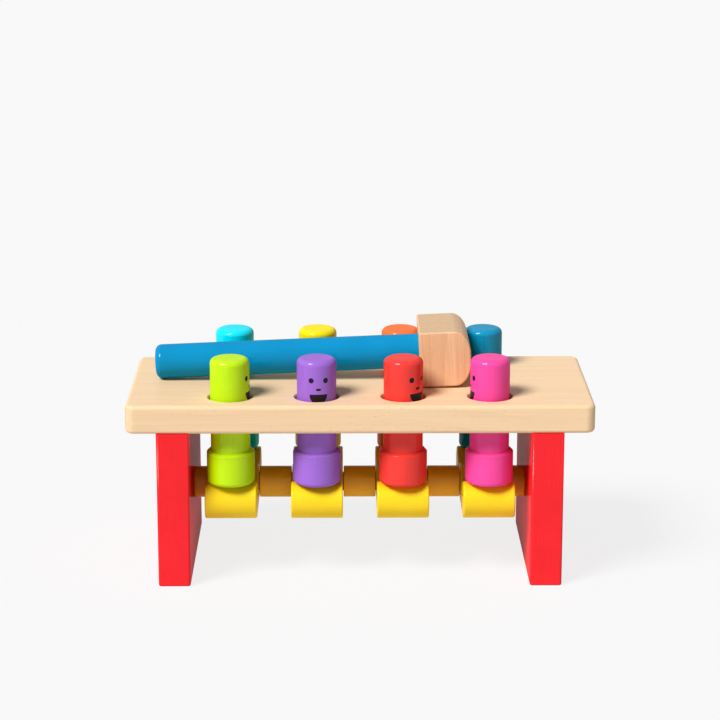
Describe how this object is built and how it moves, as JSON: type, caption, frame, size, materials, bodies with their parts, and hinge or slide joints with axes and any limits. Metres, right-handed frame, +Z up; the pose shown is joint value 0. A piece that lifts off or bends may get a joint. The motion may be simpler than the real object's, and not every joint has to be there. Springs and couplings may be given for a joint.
{
  "type": "pounding bench",
  "caption": "Wooden toy bench on solid end legs: round pegs stand in holes over see-saw rockers, and a mallet lies on the board.",
  "frame": {"origin": "on the floor, under the middle of the bench", "axes": "+X along the bench to the right as seen from the front, +Y to the back, +Z up"},
  "size_m": [0.29, 0.126, 0.1536],
  "materials": {
    "board_wood": "satin",
    "leg_red": "gloss",
    "rocker_yellow": "gloss",
    "dowel_wood": "matte",
    "handle_blue": "gloss",
    "head_wood": "satin",
    "peg_green": "gloss",
    "peg_purple": "gloss",
    "peg_red": "gloss",
    "peg_pink": "gloss",
    "peg_cyan": "gloss",
    "peg_yellow": "gloss",
    "peg_orange": "gloss",
    "peg_blue": "gloss"
  },
  "bodies": {
    "bench": {"bench_top": "board_wood", "left_leg": "leg_red", "right_leg": "leg_red", "left_leg_dowels": "dowel_wood", "right_leg_dowels": "dowel_wood", "rocker_axle": "dowel_wood", "axle_spacer_1": "rocker_yellow", "axle_spacer_2": "rocker_yellow", "axle_spacer_3": "rocker_yellow", "axle_spacer_4": "rocker_yellow", "axle_spacer_5": "rocker_yellow"},
    "rocker_1": {"rocker_1": "rocker_yellow"},
    "rocker_2": {"rocker_2": "rocker_yellow"},
    "rocker_3": {"rocker_3": "rocker_yellow"},
    "rocker_4": {"rocker_4": "rocker_yellow"},
    "green_peg": {"green_peg": "peg_green"},
    "cyan_peg": {"cyan_peg": "peg_cyan"},
    "purple_peg": {"purple_peg": "peg_purple"},
    "yellow_peg": {"yellow_peg": "peg_yellow"},
    "red_peg": {"red_peg": "peg_red"},
    "orange_peg": {"orange_peg": "peg_orange"},
    "pink_peg": {"pink_peg": "peg_pink"},
    "blue_peg": {"blue_peg": "peg_blue"},
    "mallet": {"mallet_head": "head_wood", "mallet_handle": "handle_blue"}
  },
  "joints": [
    {"name": "rocker_1_swing", "type": "hinge", "parent": "bench", "child": "rocker_1", "pos_m": [-0.081, 0, 0.0495], "axis": [1, 0, 0], "range_deg": [-23, 23]},
    {"name": "rocker_2_swing", "type": "hinge", "parent": "bench", "child": "rocker_2", "pos_m": [-0.027, 0, 0.0495], "axis": [1, 0, 0], "range_deg": [-23, 23]},
    {"name": "rocker_3_swing", "type": "hinge", "parent": "bench", "child": "rocker_3", "pos_m": [0.027, 0, 0.0495], "axis": [1, 0, 0], "range_deg": [-23, 23]},
    {"name": "rocker_4_swing", "type": "hinge", "parent": "bench", "child": "rocker_4", "pos_m": [0.081, 0, 0.0495], "axis": [1, 0, 0], "range_deg": [-23, 23]},
    {"name": "green_peg_slide", "type": "slide", "parent": "bench", "child": "green_peg", "axis": [0, 0, 1], "range_m": [-0.0158, 0.0158]},
    {"name": "cyan_peg_slide", "type": "slide", "parent": "bench", "child": "cyan_peg", "axis": [0, 0, 1], "range_m": [-0.0158, 0.0158]},
    {"name": "purple_peg_slide", "type": "slide", "parent": "bench", "child": "purple_peg", "axis": [0, 0, 1], "range_m": [-0.0158, 0.0158]},
    {"name": "yellow_peg_slide", "type": "slide", "parent": "bench", "child": "yellow_peg", "axis": [0, 0, 1], "range_m": [-0.0158, 0.0158]},
    {"name": "red_peg_slide", "type": "slide", "parent": "bench", "child": "red_peg", "axis": [0, 0, 1], "range_m": [-0.0158, 0.0158]},
    {"name": "orange_peg_slide", "type": "slide", "parent": "bench", "child": "orange_peg", "axis": [0, 0, 1], "range_m": [-0.0158, 0.0158]},
    {"name": "pink_peg_slide", "type": "slide", "parent": "bench", "child": "pink_peg", "axis": [0, 0, 1], "range_m": [-0.0158, 0.0158]},
    {"name": "blue_peg_slide", "type": "slide", "parent": "bench", "child": "blue_peg", "axis": [0, 0, 1], "range_m": [-0.0158, 0.0158]},
    {"name": "mallet_lift", "type": "slide", "parent": "bench", "child": "mallet", "axis": [0, 0, 1], "range_m": [0, 0.12]}
  ],
  "couplings": [
    {"joint": "green_peg_slide", "follows": "rocker_1_swing", "m_per_rad": -0.0388},
    {"joint": "cyan_peg_slide", "follows": "rocker_1_swing", "m_per_rad": 0.0388},
    {"joint": "purple_peg_slide", "follows": "rocker_2_swing", "m_per_rad": -0.0388},
    {"joint": "yellow_peg_slide", "follows": "rocker_2_swing", "m_per_rad": 0.0388},
    {"joint": "red_peg_slide", "follows": "rocker_3_swing", "m_per_rad": -0.0388},
    {"joint": "orange_peg_slide", "follows": "rocker_3_swing", "m_per_rad": 0.0388},
    {"joint": "pink_peg_slide", "follows": "rocker_4_swing", "m_per_rad": -0.0388},
    {"joint": "blue_peg_slide", "follows": "rocker_4_swing", "m_per_rad": 0.0388}
  ]
}
